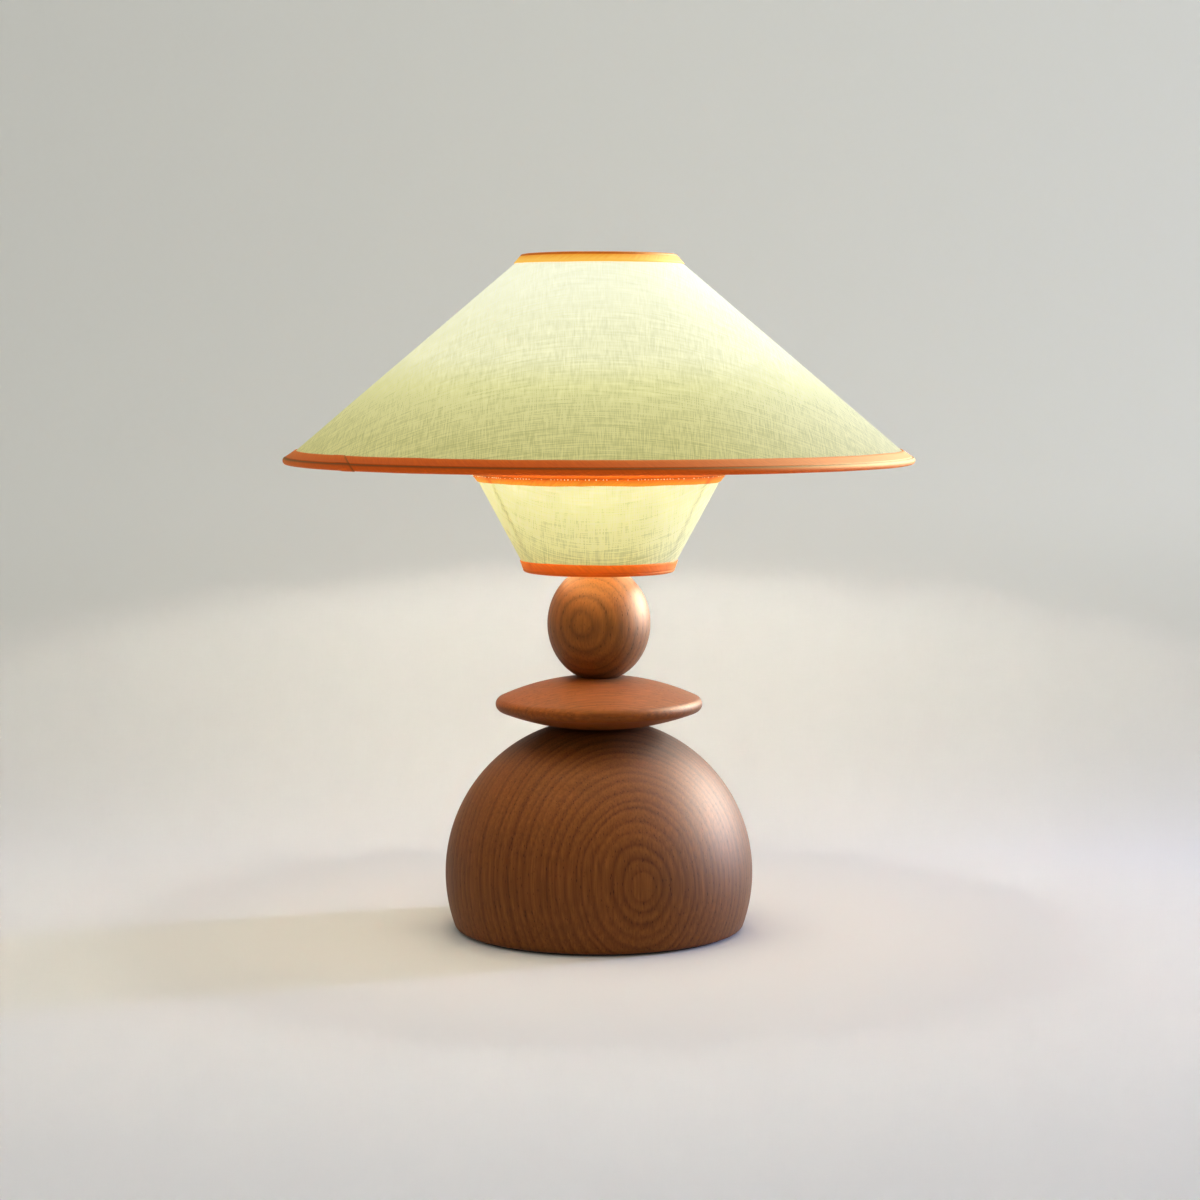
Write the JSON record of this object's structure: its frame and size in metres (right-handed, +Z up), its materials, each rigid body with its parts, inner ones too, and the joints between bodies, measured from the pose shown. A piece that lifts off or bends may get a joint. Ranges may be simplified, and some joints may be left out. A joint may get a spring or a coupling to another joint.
{
  "type": "table lamp",
  "caption": "Table lamp with a turned wooden dome, lens disc and egg as its stem and a two-tier cloth shade, a wide cone over a small inverted cone, edged in tape.",
  "frame": {"origin": "middle of the felt ring's underside, on the surface that the lamp stands on", "axes": "+Z up along the stem, -Y towards the viewer of the picture, +Y towards the cord inlet"},
  "size_m": [0.3508, 0.3508, 0.3779],
  "materials": {
    "stained_ash": "satin lacquer over stain",
    "cover_paint": "matte",
    "felt": "matte felt",
    "gland_rubber": "matte",
    "zinc_steel": "zinc plated",
    "brass": "satin",
    "block_nylon": "matte",
    "brown_insulation": "satin",
    "blue_insulation": "satin",
    "holder_phenolic": "moulded, satin",
    "core_ceramic": "glazed",
    "opal_glass": "opal, lit from inside",
    "clear_glass": "clear",
    "cap_metal": "rolled",
    "black_glass": "gloss",
    "phosphor": "matte",
    "frame_paint": "powder coat",
    "lining_film": "matte film",
    "shade_cloth": "fine plain weave",
    "edge_tape": "folded bias tape"
  },
  "bodies": {
    "base": {"base_dome": "stained_ash", "lens_disc": "stained_ash", "wooden_egg": "stained_ash", "base_cover": "cover_paint", "felt_ring": "felt", "cord_gland": "gland_rubber", "cover_screws": "zinc_steel", "stem_nut": "zinc_steel", "lock_washer": "zinc_steel", "flat_washer": "zinc_steel", "clamp_screws": "zinc_steel", "block_screw": "zinc_steel", "grub_screw": "zinc_steel", "contact_spring": "zinc_steel", "stem_tube": "brass", "seat_washer": "brass", "core_terminals": "brass", "screw_shell": "brass", "terminal_block": "block_nylon", "live_lead": "brown_insulation", "neutral_lead": "blue_insulation", "holder_cap": "holder_phenolic", "holder_skirt": "holder_phenolic", "shade_ring": "holder_phenolic", "holder_core": "core_ceramic"},
    "contact": {"centre_contact": "brass"},
    "bulb": {"bulb_glass": "opal_glass", "bulb_cap": "cap_metal", "bulb_insulator": "black_glass", "bulb_tip": "cap_metal", "bulb_stem": "clear_glass", "filaments": "phosphor", "filament_wires": "zinc_steel"},
    "shade": {"fitter_plate": "frame_paint", "fitter_arms": "frame_paint", "cup_bottom_wire": "frame_paint", "cup_top_wire": "frame_paint", "cup_struts": "frame_paint", "hat_spokes": "frame_paint", "hat_rim_wire": "frame_paint", "hat_top_wire": "frame_paint", "cup_lining": "lining_film", "cup_cloth": "shade_cloth", "hat_lining": "lining_film", "hat_cloth": "shade_cloth", "cup_bottom_tape": "edge_tape", "cup_top_tape": "edge_tape", "hat_rim_tape": "edge_tape", "hat_top_tape": "edge_tape"}
  },
  "joints": [
    {"name": "shade_turn", "type": "hinge", "parent": "base", "child": "shade", "pos_m": [0, 0, 0.23425], "axis": [0, 0, 1], "continuous": true},
    {"name": "contact_lift", "type": "slide", "parent": "base", "child": "contact", "axis": [0, 0, 1], "range_m": [0, 0.0037], "deforming": ["contact_spring"]},
    {"name": "bulb_turn", "type": "hinge", "parent": "contact", "child": "bulb", "pos_m": [0, 0, 0.2352], "axis": [0, 0, 1], "range_deg": [0, 360]}
  ],
  "couplings": [
    {"joint": "contact_lift", "follows": "bulb_turn", "m_per_rad": 0.00057757}
  ]
}
